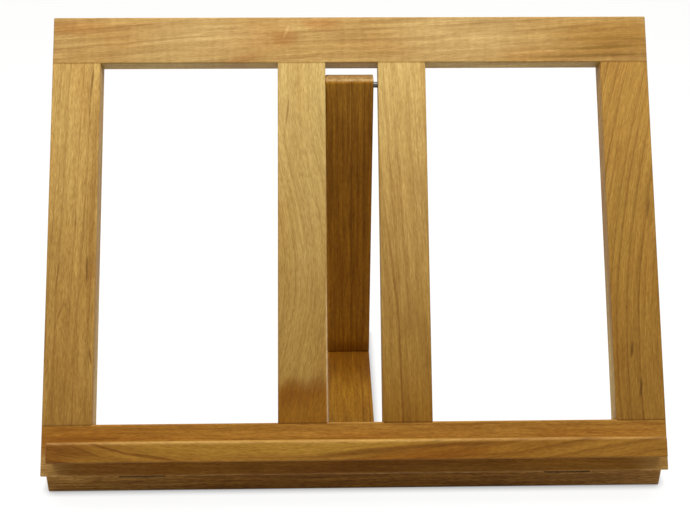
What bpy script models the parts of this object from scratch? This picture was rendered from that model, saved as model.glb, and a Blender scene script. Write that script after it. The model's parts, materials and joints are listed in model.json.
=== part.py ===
# Tabletop book stand. A slatted frame leans back from a pair of butt hinges on a base rail.
# A strut swings on a rod between the two inner stiles, and its foot stands on a board that
# runs back from the base rail. A ledge along the bottom rail carries the book.
# Metres. +X is to the right of someone facing the stand, +Y is to the back and +Z is up.

import math

import bmesh
import bpy
from mathutils import Matrix, Vector

# Driving dimensions of the woodwork
FRAME_WIDTH = 0.400        # length of the top, bottom and base rails
FRAME_HEIGHT = 0.303       # bottom edge to top edge, along the frame
STOCK_WIDTH = 0.032        # section that every bar is cut from
STOCK_THICKNESS = 0.013
ARRIS = 0.0008             # rounding of the long edges
RECLINE = math.radians(37) # lean of the frame from upright
BOARD_TAIL = 0.032         # board behind the strut's foot
SEAT_DEPTH = 0.002         # step that keeps the strut's foot from sliding back
CLEARANCE = 0.0003         # gap between pieces that touch

# Strut and its rod
ROD_COVER = 0.0015         # wood between the upper dowels' ends and the rod
ROD_RADIUS = 0.002
ROD_SEAT = 0.020           # rod held in each inner stile
STRUT_PLAY = 0.003         # free space beside the strut, on its right
STRUT_HEAD = 0.0059        # strut above the rod's centre
STRUT_ROUND = 0.0032       # rounding of the strut's upper edges

# Ledge for the book
LEDGE_DEPTH = 0.015
LEDGE_HEIGHT = 0.0128
LEDGE_LIFT = 0.0088        # ledge's underside above the frame's bottom edge
LEDGE_INSET_LEFT = 0.007   # ledge's end inside the frame's end
LEDGE_INSET_RIGHT = 0.0048
LEDGE_ROUND = 0.0018       # rounding of the ledge's upper front edge
LEDGE_SCREW_SHIFT = 0.038  # outer ledge screws, inwards from the hinges' centres
LEDGE_SCREW_RADIUS = 0.0015
LEDGE_SCREW_HEAD = 0.003
LEDGE_SCREW_COVER = 0.006  # wood in front of the ledge screws' tips

# Dowels
DOWEL_RADIUS = 0.003
DOWEL_DEPTH = 0.010        # depth in each of the two pieces
DOWEL_MARGIN = 0.008       # dowel's centre from the edge of the bar
DOWEL_CHAMFER = 0.0006

# Butt hinges
HINGE_INSET = 0.062        # hinge's centre from the frame's end
HINGE_LENGTH = 0.029
LEAF_WIDTH = 0.0115        # hinge axis to the leaf's far edge
LEAF_THICKNESS = 0.0009
KNUCKLE_RADIUS = 0.0014
END_KNUCKLE = 0.007        # length of each end knuckle
HINGE_PIN_RADIUS = 0.0006
HINGE_PIN_PLAY = 0.00025
HINGE_SCREW_SPACING = 0.016
HINGE_SCREW_OFFSET = 0.007 # hinge axis to the screws
HINGE_SCREW_RADIUS = 0.001
HINGE_SCREW_HEAD = 0.002
HINGE_SCREW_COVER = 0.004  # wood beyond the hinge screws' tips

# Fineness of round shapes
SIDES = 12
ROD_SIDES = 24
KNUCKLE_STEPS = 16
STRUT_STEPS = 6
LEDGE_STEPS = 5
ARRIS_STEPS = 2
SMOOTH_ANGLE = math.radians(35)
OVERCUT = 0.005            # how far a cutter runs past a face

# Places worked out from the dimensions
SETBACK = KNUCKLE_RADIUS - LEAF_THICKNESS  # leaf's face, and so the wood's face, from the axis
HINGE_Z = STOCK_THICKNESS + SETBACK
HINGE_X = FRAME_WIDTH / 2 - HINGE_INSET
HALF_WIDTH = FRAME_WIDTH / 2
STRUT_GAP = STOCK_WIDTH + CLEARANCE + STRUT_PLAY
STRUT_LEFT = -STRUT_GAP / 2 + CLEARANCE
STRUT_RIGHT = STRUT_LEFT + STOCK_WIDTH
BACK = -SETBACK                    # frame's back face, in the frame's own directions
MIDDLE = BACK - STOCK_THICKNESS / 2
FRONT = BACK - STOCK_THICKNESS
BOTTOM = SETBACK
TOP = BOTTOM + FRAME_HEIGHT
LOWER_JOINT = BOTTOM + STOCK_WIDTH
UPPER_JOINT = TOP - STOCK_WIDTH
PIN_V = UPPER_JOINT - DOWEL_DEPTH - ROD_COVER - ROD_RADIUS
PIN_Y = MIDDLE * math.cos(RECLINE) + PIN_V * math.sin(RECLINE)
PIN_Z = HINGE_Z - MIDDLE * math.sin(RECLINE) + PIN_V * math.cos(RECLINE)
SEAT_Z = STOCK_THICKNESS - SEAT_DEPTH
STRUT_LENGTH = PIN_Z - SEAT_Z - CLEARANCE
SHOULDER_Y = PIN_Y + STOCK_THICKNESS / 2 + CLEARANCE
RAIL_BACK_Y = SETBACK + STOCK_WIDTH
INNER_STILE_X = STRUT_GAP / 2 + STOCK_WIDTH / 2
OUTER_STILE_X = HALF_WIDTH - STOCK_WIDTH / 2
HINGES = {"left": -HINGE_X, "right": HINGE_X}
STILES = {
    "left_outer_stile": -OUTER_STILE_X,
    "left_inner_stile": -INNER_STILE_X,
    "right_inner_stile": INNER_STILE_X,
    "right_outer_stile": OUTER_STILE_X,
}

# Colour, roughness and metallic value of each finish
FINISHES = {
    "honey hardwood": ("C8A05F", 0.48, 0.0),
    "warm hardwood": ("A57432", 0.48, 0.0),
    "shaded hardwood": ("8F6A32", 0.52, 0.0),
    "beech dowel": ("D9BC8C", 0.6, 0.0),
    "polished steel": ("C9CACB", 0.18, 1.0),
    "bronzed steel": ("5B4A35", 0.42, 1.0),
}


def linear(channel):
    if channel <= 0.04045:
        return channel / 12.92
    return ((channel + 0.055) / 1.055) ** 2.4


def make_finish(name, finish):
    code, roughness, metallic = FINISHES[finish]
    colour = [linear(int(code[i:i + 2], 16) / 255) for i in (0, 2, 4)]
    material = bpy.data.materials.new(name + " " + finish)
    material.use_nodes = True
    shader = material.node_tree.nodes["Principled BSDF"]
    shader.inputs["Base Color"].default_value = (*colour, 1.0)
    shader.inputs["Roughness"].default_value = roughness
    shader.inputs["Metallic"].default_value = metallic
    return material


def add_empty(name, parent, location, tilt):
    empty = bpy.data.objects.new(name, None)
    bpy.context.scene.collection.objects.link(empty)
    empty.parent = parent
    empty.location = location
    empty.rotation_euler = (tilt, 0, 0)
    return empty


def link_mesh(name, bm, parent):
    bmesh.ops.recalc_face_normals(bm, faces=bm.faces)
    mesh = bpy.data.meshes.new(name)
    bm.to_mesh(mesh)
    bm.free()
    mesh.shade_smooth()
    mesh.set_sharp_from_angle(angle=SMOOTH_ANGLE)
    thing = bpy.data.objects.new(name, mesh)
    bpy.context.scene.collection.objects.link(thing)
    thing.parent = parent
    return thing


def add_piece(name, bm, parent, finish):
    piece = link_mesh(name, bm, parent)
    piece.data.materials.append(make_finish(name, finish))
    return piece


def add_cutter(name, bm, parent):
    cutter = link_mesh(name, bm, parent)
    cutter.hide_render = True
    cutter.display_type = "WIRE"
    return cutter


def combine(piece, other, operation):
    modifier = piece.modifiers.new(operation.lower() + " " + other.name, "BOOLEAN")
    modifier.operation = operation
    modifier.solver = "EXACT"
    modifier.object = other


def cut(pieces, cutter):
    for piece in pieces:
        combine(piece, cutter, "DIFFERENCE")


def add_box(bm, low, high):
    size = Vector(high) - Vector(low)
    centre = (Vector(high) + Vector(low)) / 2
    place = Matrix.Translation(centre) @ Matrix.Diagonal((*size, 1))
    return bmesh.ops.create_cube(bm, size=1.0, matrix=place)["verts"]


def runs_along(edge, axis):
    step = edge.verts[1].co - edge.verts[0].co
    return abs(step[axis]) > 0.99 * step.length


def round_edges(bm, edges, radius, steps):
    bmesh.ops.bevel(
        bm, geom=edges, offset=radius, segments=steps, profile=0.5,
        affect="EDGES", clamp_overlap=True)


def bar(low, high, long_axis=None):
    # A sawn bar with its arrises taken off: all of them, or the long ones where its ends butt.
    bm = bmesh.new()
    add_box(bm, low, high)
    edges = [e for e in bm.edges if long_axis is None or runs_along(e, long_axis)]
    round_edges(bm, edges, ARRIS, ARRIS_STEPS)
    return bm


def add_turned(bm, profile, place, sides):
    # A turned solid: profile gives (radius, height) from the low end to the high end.
    rings = []
    for radius, height in profile:
        ring = []
        for i in range(sides):
            angle = 2 * math.pi * i / sides
            point = Vector((radius * math.cos(angle), radius * math.sin(angle), height))
            ring.append(bm.verts.new(place @ point))
        rings.append(ring)
    for low, high in zip(rings, rings[1:]):
        for i in range(sides):
            j = (i + 1) % sides
            bm.faces.new((low[i], low[j], high[j], high[i]))
    bm.faces.new(rings[0][::-1])
    bm.faces.new(rings[-1])


def add_extruded(bm, outline, start, end, place):
    # An outline of (across, deep) points, drawn out along X and put in place.
    first = [bm.verts.new(place(start, *point)) for point in outline]
    last = [bm.verts.new(place(end, *point)) for point in outline]
    for i in range(len(outline)):
        j = (i + 1) % len(outline)
        bm.faces.new((first[i], first[j], last[j], last[i]))
    bm.faces.new(first[::-1])
    bm.faces.new(last)


def dowel_profile():
    inner = DOWEL_RADIUS - DOWEL_CHAMFER
    return [
        (inner, -DOWEL_DEPTH),
        (DOWEL_RADIUS, DOWEL_CHAMFER - DOWEL_DEPTH),
        (DOWEL_RADIUS, DOWEL_DEPTH - DOWEL_CHAMFER),
        (inner, DOWEL_DEPTH),
    ]


def dowel_hole_profile():
    radius = DOWEL_RADIUS + CLEARANCE
    depth = DOWEL_DEPTH + CLEARANCE
    return [(radius, -depth), (radius, depth)]


def screw_profile(radius, head, length):
    # Height 0 is the flush top of the countersunk head, and the tip is below it.
    cone = head - radius
    return [
        (radius * 0.35, -length),
        (radius, -length + 2 * radius),
        (radius, -cone),
        (head, 0),
    ]


def screw_hole_profile(radius, head, length):
    cone = head - radius
    return [
        (radius + CLEARANCE, -length - CLEARANCE),
        (radius + CLEARANCE, -cone),
        (head + CLEARANCE, 0),
        (head + CLEARANCE, OVERCUT),
    ]


def cylinder_profile(radius, half_length):
    return [(radius, -half_length), (radius, half_length)]


def pin_profile(radius, half_length):
    chamfer = radius / 4
    return [
        (radius - chamfer, -half_length),
        (radius, chamfer - half_length),
        (radius, half_length - chamfer),
        (radius - chamfer, half_length),
    ]


def turned_set(profile, places, sides):
    bm = bmesh.new()
    for place in places:
        add_turned(bm, profile, place, sides)
    return bm


def add_turned_pieces(names, profile, places, parent, finish):
    for name, place in zip(names, places):
        add_piece(name, turned_set(profile, [place], SIDES), parent, finish)


ALONG_X = Matrix.Rotation(math.pi / 2, 4, "Y")
TO_BACK = Matrix.Rotation(-math.pi / 2, 4, "X")


def frame_place(x, across, deep):
    # Hinge directions on the frame: across runs up its back face, deep runs into the wood.
    return Vector((x, -deep, across))


def base_place(x, across, deep):
    # Hinge directions on the base: across runs back over its top face, deep runs down.
    return Vector((x, across, HINGE_Z - deep))


def make_frame(frame):
    pieces = {}
    low_rail = bar((-HALF_WIDTH, FRONT, BOTTOM), (HALF_WIDTH, BACK, LOWER_JOINT))
    pieces["bottom_rail"] = add_piece("bottom_rail", low_rail, frame, "warm hardwood")
    high_rail = bar((-HALF_WIDTH, FRONT, UPPER_JOINT), (HALF_WIDTH, BACK, TOP))
    pieces["top_rail"] = add_piece("top_rail", high_rail, frame, "honey hardwood")
    for name, x in STILES.items():
        low = (x - STOCK_WIDTH / 2, FRONT, LOWER_JOINT + CLEARANCE)
        high = (x + STOCK_WIDTH / 2, BACK, UPPER_JOINT - CLEARANCE)
        pieces[name] = add_piece(name, bar(low, high, long_axis=2), frame, "honey hardwood")
    for name, x in STILES.items():
        bottom = (pieces["bottom_rail"], pieces[name])
        add_stile_dowels(frame, bottom, name + "_bottom_dowel", x, LOWER_JOINT + CLEARANCE / 2)
        top = (pieces["top_rail"], pieces[name])
        add_stile_dowels(frame, top, name + "_top_dowel", x, UPPER_JOINT - CLEARANCE / 2)
    return pieces


def add_stile_dowels(frame, joined, name, x, joint):
    shift = STOCK_WIDTH / 2 - DOWEL_MARGIN
    places = [Matrix.Translation((x + side * shift, MIDDLE, joint)) for side in (-1, 1)]
    holes = turned_set(dowel_hole_profile(), places, SIDES)
    cut(joined, add_cutter("cut_" + name, holes, frame))
    add_turned_pieces([name + "_1", name + "_2"], dowel_profile(), places, frame, "beech dowel")


def make_ledge(frame, bottom_rail):
    bm = bmesh.new()
    left, right = LEDGE_INSET_LEFT - HALF_WIDTH, HALF_WIDTH - LEDGE_INSET_RIGHT
    back = FRONT - CLEARANCE
    low = (left, back - LEDGE_DEPTH, BOTTOM + LEDGE_LIFT)
    high = (right, back, BOTTOM + LEDGE_LIFT + LEDGE_HEIGHT)
    add_box(bm, low, high)
    nose = [e for e in bm.edges if all(v.co.y < back - LEDGE_DEPTH / 2 for v in e.verts)]
    top = [e for e in nose if all(v.co.z > high[2] - LEDGE_HEIGHT / 2 for v in e.verts)]
    round_edges(bm, [e for e in nose if e not in top], ARRIS, ARRIS_STEPS)
    upper = [e for e in bm.edges if runs_along(e, 0) and all(
        v.co.z > high[2] - ARRIS / 2 and v.co.y < back - LEDGE_DEPTH / 2 for v in e.verts)]
    round_edges(bm, upper, LEDGE_ROUND, LEDGE_STEPS)
    ledge = add_piece("book_ledge", bm, frame, "warm hardwood")

    length = STOCK_THICKNESS + CLEARANCE + LEDGE_DEPTH - LEDGE_SCREW_COVER
    sizes = (LEDGE_SCREW_RADIUS, LEDGE_SCREW_HEAD, length)
    outer = HINGE_X - LEDGE_SCREW_SHIFT
    height = BOTTOM + LEDGE_LIFT + LEDGE_HEIGHT / 2
    places = [Matrix.Translation((x, BACK, height)) @ TO_BACK for x in (-outer, 0, outer)]
    holes = turned_set(screw_hole_profile(*sizes), places, SIDES)
    cut([ledge, bottom_rail], add_cutter("cut_ledge_screws", holes, frame))
    names = ["ledge_screw_left", "ledge_screw_middle", "ledge_screw_right"]
    add_turned_pieces(names, screw_profile(*sizes), places, frame, "polished steel")


def make_strut(frame, pieces):
    half = STOCK_THICKNESS / 2
    outline = [(half, -STRUT_LENGTH)]
    for middle, start in ((half - STRUT_ROUND, 0), (STRUT_ROUND - half, math.pi / 2)):
        for i in range(STRUT_STEPS + 1):
            angle = start + math.pi / 2 * i / STRUT_STEPS
            across = middle + STRUT_ROUND * math.cos(angle)
            outline.append((across, STRUT_HEAD + STRUT_ROUND * (math.sin(angle) - 1)))
    outline.append((-half, -STRUT_LENGTH))
    bm = bmesh.new()
    add_extruded(bm, outline, STRUT_LEFT, STRUT_RIGHT, lambda x, y, z: Vector((x, y, z)))
    sides = [f for f in bm.faces if len(f.verts) == len(outline)]
    round_edges(bm, [e for f in sides for e in f.edges], ARRIS, ARRIS_STEPS)
    strut = add_piece("strut", bm, frame, "shaded hardwood")
    strut.location = (0, MIDDLE, PIN_V)
    strut.rotation_euler = (RECLINE, 0, 0)

    half_rod = STRUT_GAP / 2 + ROD_SEAT
    place = Matrix.Translation((0, MIDDLE, PIN_V)) @ ALONG_X
    bore = turned_set(cylinder_profile(ROD_RADIUS + CLEARANCE, half_rod + CLEARANCE), [place], ROD_SIDES)
    cutter = add_cutter("cut_pivot_rod", bore, frame)
    cut([strut, pieces["left_inner_stile"], pieces["right_inner_stile"]], cutter)
    rod = turned_set(pin_profile(ROD_RADIUS, half_rod), [place], ROD_SIDES)
    add_piece("pivot_rod", rod, frame, "polished steel")


def make_base(base):
    low = (-HALF_WIDTH, SETBACK, 0)
    high = (HALF_WIDTH, RAIL_BACK_Y, STOCK_THICKNESS)
    rail = add_piece("base_rail", bar(low, high), base, "shaded hardwood")

    front = RAIL_BACK_Y + CLEARANCE
    low = (STRUT_LEFT, front, 0)
    high = (STRUT_RIGHT, SHOULDER_Y + BOARD_TAIL, STOCK_THICKNESS)
    board = add_piece("base_board", bar(low, high, long_axis=1), base, "warm hardwood")
    seat = bmesh.new()
    add_box(seat, (STRUT_LEFT - OVERCUT, front - OVERCUT, SEAT_Z),
            (STRUT_RIGHT + OVERCUT, SHOULDER_Y, STOCK_THICKNESS + OVERCUT))
    cut([board], add_cutter("cut_strut_seat", seat, base))

    joint = RAIL_BACK_Y + CLEARANCE / 2
    spots = (STRUT_LEFT + DOWEL_MARGIN, STRUT_RIGHT - DOWEL_MARGIN)
    places = [Matrix.Translation((x, joint, SEAT_Z / 2)) @ TO_BACK for x in spots]
    holes = turned_set(dowel_hole_profile(), places, SIDES)
    cut([rail, board], add_cutter("cut_base_board_dowels", holes, base))
    names = ["base_board_dowel_1", "base_board_dowel_2"]
    add_turned_pieces(names, dowel_profile(), places, base, "beech dowel")
    return rail


def knuckle_outline():
    # The leaf rolled round the pin: its wood side runs tangent to the roll, and the roll
    # closes on the leaf's outer side.
    seam = math.asin(SETBACK / KNUCKLE_RADIUS)
    sweep = 1.5 * math.pi + seam
    outline = []
    for i in range(KNUCKLE_STEPS + 1):
        angle = math.pi / 2 + sweep * i / KNUCKLE_STEPS
        outline.append((KNUCKLE_RADIUS * math.cos(angle), KNUCKLE_RADIUS * math.sin(angle)))
    tongue = (KNUCKLE_RADIUS + LEAF_WIDTH) / 2
    return outline + [(tongue, SETBACK), (tongue, KNUCKLE_RADIUS)]


def make_leaf(name, parent, place, x, knuckles, screw_holes):
    half = HINGE_LENGTH / 2
    plate = bmesh.new()
    near = KNUCKLE_RADIUS + CLEARANCE
    section = [(near, SETBACK), (LEAF_WIDTH, SETBACK), (LEAF_WIDTH, KNUCKLE_RADIUS), (near, KNUCKLE_RADIUS)]
    add_extruded(plate, section, x - half, x + half, place)
    leaf = add_piece(name + "_leaf", plate, parent, "bronzed steel")

    roll = bmesh.new()
    for start, end in knuckles:
        add_extruded(roll, knuckle_outline(), x + start, x + end, place)
    combine(leaf, add_cutter("join_" + name + "_knuckles", roll, parent), "UNION")
    axis = Matrix.Translation(place(x, 0, 0)) @ ALONG_X
    bore = cylinder_profile(HINGE_PIN_RADIUS + HINGE_PIN_PLAY, half + OVERCUT)
    cut([leaf], add_cutter("cut_" + name + "_bore", turned_set(bore, [axis], SIDES), parent))
    cut([leaf], screw_holes)


def fit_leaves(side, parent, wood, place, screw_turn, knuckles):
    # Both hinges' leaves on one rail: pockets in the wood, leaves and screws.
    half = HINGE_LENGTH / 2 + CLEARANCE
    deep = KNUCKLE_RADIUS + CLEARANCE
    far = LEAF_WIDTH + CLEARANCE
    mouth = [(-OVERCUT, -OVERCUT), (far, -OVERCUT), (far, deep), (-OVERCUT, deep)]
    pockets = bmesh.new()
    for x in HINGES.values():
        add_extruded(pockets, mouth, x - half, x + half, place)
    cut([wood], add_cutter("cut_hinge_" + side + "_pockets", pockets, parent))

    sizes = (HINGE_SCREW_RADIUS, HINGE_SCREW_HEAD, STOCK_THICKNESS - HINGE_SCREW_COVER)
    screws = {}
    for hand, x in HINGES.items():
        for number, step in ((1, -HINGE_SCREW_SPACING / 2), (2, HINGE_SCREW_SPACING / 2)):
            spot = place(x + step, HINGE_SCREW_OFFSET, SETBACK)
            name = hand + "_hinge_" + side + "_screw_" + str(number)
            screws[name] = Matrix.Translation(spot) @ screw_turn
    holes = turned_set(screw_hole_profile(*sizes), screws.values(), SIDES)
    screw_holes = add_cutter("cut_hinge_" + side + "_screws", holes, parent)
    cut([wood], screw_holes)
    add_turned_pieces(screws, screw_profile(*sizes), screws.values(), parent, "polished steel")
    for hand, x in HINGES.items():
        make_leaf(hand + "_hinge_" + side, parent, place, x, knuckles, screw_holes)


def make_hinges(frame, base, bottom_rail, base_rail):
    half = HINGE_LENGTH / 2
    inner = half - END_KNUCKLE - CLEARANCE
    ends = [(-half, -half + END_KNUCKLE), (half - END_KNUCKLE, half)]
    fit_leaves("frame", frame, bottom_rail, frame_place, TO_BACK, [(-inner, inner)])
    fit_leaves("base", base, base_rail, base_place, Matrix.Identity(4), ends)
    places = [Matrix.Translation((x, 0, HINGE_Z)) @ ALONG_X for x in HINGES.values()]
    names = [hand + "_hinge_pin" for hand in HINGES]
    add_turned_pieces(names, pin_profile(HINGE_PIN_RADIUS, half), places, base, "polished steel")


def centre_over_origin(root):
    # The stand's box is centred over the origin, front to back.
    bpy.context.view_layer.update()
    depsgraph = bpy.context.evaluated_depsgraph_get()
    reach = []
    for thing in bpy.context.scene.objects:
        if thing.type == "MESH" and not thing.hide_render:
            solid = thing.evaluated_get(depsgraph)
            reach.extend((solid.matrix_world @ v.co).y for v in solid.data.vertices)
    root.location.y = -(min(reach) + max(reach)) / 2
    bpy.context.view_layer.update()


def main():
    for thing in list(bpy.data.objects):
        bpy.data.objects.remove(thing, do_unlink=True)
    base = add_empty("stand", None, (0, 0, 0), 0)
    frame = add_empty("frame_pivot", base, (0, 0, HINGE_Z), -RECLINE)
    pieces = make_frame(frame)
    make_ledge(frame, pieces["bottom_rail"])
    make_strut(frame, pieces)
    base_rail = make_base(base)
    make_hinges(frame, base, pieces["bottom_rail"], base_rail)
    centre_over_origin(base)
    print("hinge axis", [round(c, 6) for c in frame.matrix_world.translation])
    strut = bpy.data.objects["strut"]
    print("strut pivot", [round(c, 6) for c in strut.matrix_world.translation])
    print("strut length", round(STRUT_LENGTH, 6))


main()
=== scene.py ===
import json
import math

import bmesh
import bpy
from mathutils import Matrix, Vector


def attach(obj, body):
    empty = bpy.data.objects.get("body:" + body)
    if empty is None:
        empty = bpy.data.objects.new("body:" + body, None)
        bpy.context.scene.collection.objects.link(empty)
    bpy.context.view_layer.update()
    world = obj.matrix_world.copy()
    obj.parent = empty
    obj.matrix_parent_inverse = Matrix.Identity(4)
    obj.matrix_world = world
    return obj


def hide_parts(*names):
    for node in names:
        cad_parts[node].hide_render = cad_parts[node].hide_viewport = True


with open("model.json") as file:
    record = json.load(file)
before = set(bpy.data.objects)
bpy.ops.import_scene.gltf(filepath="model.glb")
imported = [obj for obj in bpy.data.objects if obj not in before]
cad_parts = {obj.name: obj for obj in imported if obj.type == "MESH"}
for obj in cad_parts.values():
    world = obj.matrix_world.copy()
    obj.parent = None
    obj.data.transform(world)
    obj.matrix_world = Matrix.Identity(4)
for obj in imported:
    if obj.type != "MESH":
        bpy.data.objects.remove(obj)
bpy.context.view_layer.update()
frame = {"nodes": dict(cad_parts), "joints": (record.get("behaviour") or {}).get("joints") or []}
print("stage 1: frame loaded,", len(frame["nodes"]), "CAD nodes")

# The stand's driving measures in metres, as the CAD has them
stand = dict(
    width=0.400, height=0.303,   # of the frame, across and along its face
    stock=(0.032, 0.013),        # width and thickness of every bar
    setback=0.0005,              # from the hinge axis to the faces of the wood
    play=0.003,                  # beside the strut, between the inner stiles
    seatStep=0.002,              # milled in the base board for the strut's foot
    gap=0.0003,                  # between pieces that touch
    arris=0.0008,                # rounding of the long edges
    overcut=0.005,               # how far a cutter stands out of the wood
    holeSides=24,
    sharpAngle=math.radians(35),
)
stockWidth, stockThickness = stand["stock"]
setback, gap, arris, overcut = (stand[key] for key in ("setback", "gap", "arris", "overcut"))

# The CAD's joints give the two axes, and the lean is all that the tilt can take back
joints = {joint["name"]: joint for joint in frame["joints"]}
hinge, pivot = (joints[name]["pos_m"] for name in ("frame_tilt", "strut_swing"))
recline = math.radians(joints["frame_tilt"]["range_deg"][1])
frameTurn = Matrix.Translation(hinge) @ Matrix.Rotation(-recline, 4, "X")
baseTurn = Matrix.Translation((0, hinge[1], 0))
right, back, up = Vector((1, 0, 0)), Vector((0, 1, 0)), Vector((0, 0, 1))
alongX = Matrix.Rotation(math.pi / 2, 4, "Y")
toBack = Matrix.Rotation(-math.pi / 2, 4, "X")

# Places in the leaning frame's own directions, from the hinge axis: y to its back, z up its face
frameMiddle = -setback - stockThickness / 2
lowerJoint = setback + stockWidth
upperJoint = setback + stand["height"] - stockWidth

# The slot for the strut, and the board under it
strutSlot = stockWidth + gap + stand["play"]
strutLeft = gap - strutSlot / 2
strutMiddle = strutLeft + stockWidth / 2
seat = stockThickness - stand["seatStep"]


def linearColour(code):
    channels = [int(code[i:i + 2], 16) / 255 for i in (0, 2, 4)]
    linear = [c / 12.92 if c <= 0.04045 else ((c + 0.055) / 1.055) ** 2.4 for c in channels]
    return (*linear, 1.0)


def feed(node, feeds):
    # gives each input, by number, identifier or name, a value or another node's output
    for key, value in feeds.items():
        socket = node.inputs[key] if isinstance(key, int) else next(
            s for s in node.inputs if key in (s.identifier, s.name))
        if isinstance(value, bpy.types.NodeSocket):
            node.id_data.links.new(value, socket)
        else:
            socket.default_value = value


def addNode(tree, kind, feeds, out=0, **settings):
    # kind may leave out ShaderNode, and may name the node's operation after a dot
    kind, _, operation = kind.partition(".")
    node = tree.nodes.new(kind if "Node" in kind else "ShaderNode" + kind)
    if operation:
        node.operation = operation
    for key, value in settings.items():
        setattr(node, key, value)
    feed(node, feeds)
    return node.outputs[out]


def newMaterial(name):
    material = bpy.data.materials.new(name)
    material.use_nodes = True
    return material, material.node_tree, material.node_tree.nodes["Principled BSDF"]


def newTree(name, inputs):
    tree = bpy.data.node_groups.new(name, "GeometryNodeTree")
    for label, kind in inputs.items():
        tree.interface.new_socket(label, in_out="INPUT", socket_type="NodeSocket" + kind)
    tree.interface.new_socket("Geometry", in_out="OUTPUT", socket_type="NodeSocketGeometry")
    return tree, tree.nodes.new("NodeGroupInput").outputs


def endTree(tree, geometry, material):
    real = addNode(tree, "GeometryNodeRealizeInstances", {"Geometry": geometry})
    done = addNode(tree, "GeometryNodeSetMaterial", {"Geometry": real, "Material": material})
    feed(tree.nodes.new("NodeGroupOutput"), {0: done})
    return tree


def plainMesh(thing):
    # the evaluated object as a plain mesh, with its modifiers gone
    graph = bpy.context.evaluated_depsgraph_get()
    mesh = bpy.data.meshes.new_from_object(
        thing.evaluated_get(graph), preserve_all_data_layers=True, depsgraph=graph)
    thing.modifiers.clear()
    thing.data = mesh
    mesh.shade_smooth()
    mesh.set_sharp_from_angle(angle=stand["sharpAngle"])


def newObject(name, data):
    thing = bpy.data.objects.new(name, data)
    bpy.context.scene.collection.objects.link(thing)
    return thing


def meshObject(name, bm):
    thing = newObject(name, bpy.data.meshes.new(name))
    bm.to_mesh(thing.data)
    bm.free()
    return thing


def runTree(name, tree, values, start=None):
    thing = newObject(name, start or bpy.data.meshes.new(name))
    modifier = thing.modifiers.new(tree.name, "NODES")
    modifier.node_group = tree
    for item in tree.interface.items_tree:
        if item.in_out == "INPUT" and item.name in values:
            modifier[item.identifier] = values[item.name]
    plainMesh(thing)
    return thing


def joinLoops(bm, loops):
    # a closed skin over loops of points, each with as many points as the next
    for first, second in zip(loops, loops[1:]):
        for i in range(len(first)):
            j = (i + 1) % len(first)
            bm.faces.new((first[i], first[j], second[j], second[i]))
    bm.faces.new(loops[0][::-1])
    bm.faces.new(loops[-1])


def addTurned(bm, place, profile, sides=32):
    # a turned solid from (radius, height) pairs, low end first
    angles = [2 * math.pi * i / sides for i in range(sides)]
    joinLoops(bm, [
        [bm.verts.new(place @ Vector((radius * math.cos(a), radius * math.sin(a), height)))
         for a in angles] for radius, height in profile])


def addBlock(bm, place, low, high):
    low, high = Vector(low), Vector(high)
    shape = Matrix.Translation((low + high) / 2) @ Matrix.Diagonal((*(high - low), 1))
    bmesh.ops.create_cube(bm, size=1.0, matrix=place @ shape)


def cutAway(piece, bm):
    bmesh.ops.recalc_face_normals(bm, faces=bm.faces)
    cutter = meshObject("cutter", bm)
    modifier = piece.modifiers.new("cut", "BOOLEAN")
    modifier.operation, modifier.solver, modifier.object = "DIFFERENCE", "EXACT", cutter
    plainMesh(piece)
    bpy.data.objects.remove(cutter)


def finishPiece(piece, body, slot, *nodes):
    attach(piece, body)
    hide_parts(*nodes)


def finishWood(piece, body, name, holes):
    if holes:
        bm = bmesh.new()
        holes(bm)
        cutAway(piece, bm)
    finishPiece(piece, body, "oiled_hardwood", name)


# Camera at the photograph's angle, turned by radians
camera = dict(
    place=(-0.019, -0.606085, 0.460394), down=0.50593, turn=-0.02241, roll=0.00372,
    focalPixels=1035.889, imageWidth=690, sensor=36.0, clip=(0.01, 50))
eye = newObject("camera", bpy.data.cameras.new("camera"))
eye.data.sensor_width = camera["sensor"]
eye.data.lens = camera["focalPixels"] * camera["sensor"] / camera["imageWidth"]
eye.data.clip_start, eye.data.clip_end = camera["clip"]
eye.matrix_world = (
    Matrix.Translation(camera["place"]) @ Matrix.Rotation(camera["turn"], 4, "Z")
    @ Matrix.Rotation(math.pi / 2 - camera["down"], 4, "X")
    @ Matrix.Rotation(camera["roll"], 4, "Z"))
bpy.context.scene.camera = eye

# A softbox overhead and an even fill from the sky
studio = dict(
    lampPlace=(0, 0, 0.78), lampAim=(0, 0, 0.1), lampSize=(1.3, 0.45), lampWatts=8.8,
    skyFill=0.24, skyColour="FFF6EA",
    floorSize=6.0, floorDrop=0.0001, floorColour="666665", floorBounce="E0DEDA",
    floorGlow=0.94, floorRoughness=0.9, contact=0.006, contactSamples=16)
lamp = bpy.data.lights.new("softbox", "AREA")
lamp.shape, lamp.energy = "RECTANGLE", studio["lampWatts"]
lamp.size, lamp.size_y = studio["lampSize"]
box = newObject("softbox", lamp)
box.location = studio["lampPlace"]
beam = Vector(studio["lampAim"]) - box.location
box.rotation_euler = beam.to_track_quat("-Z", "Y").to_euler()


def directSight(tree):
    # 1 for rays from the camera, a mirror or glass, 0 for light that only falls on things
    path = tree.nodes.new("ShaderNodeLightPath").outputs
    seen = path["Is Camera Ray"]
    for name in ("Is Glossy Ray", "Is Transmission Ray"):
        seen = addNode(tree, "Math.MAXIMUM", {0: seen, 1: path[name]})
    return seen


white = (1, 1, 1, 1)
sky = bpy.data.worlds.new("studio")
bpy.context.scene.world = sky
sky.use_nodes = True
tree = sky.node_tree
seen = directSight(tree)
level = addNode(tree, "MapRange", {"Value": seen, "To Min": studio["skyFill"], "To Max": 1.0})
tone = addNode(tree, "Mix", {
    "Factor_Float": seen, "A_Color": linearColour(studio["skyColour"]), "B_Color": white},
    out=2, data_type="RGBA")
feed(tree.nodes["Background"], {"Color": tone, "Strength": level})

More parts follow.
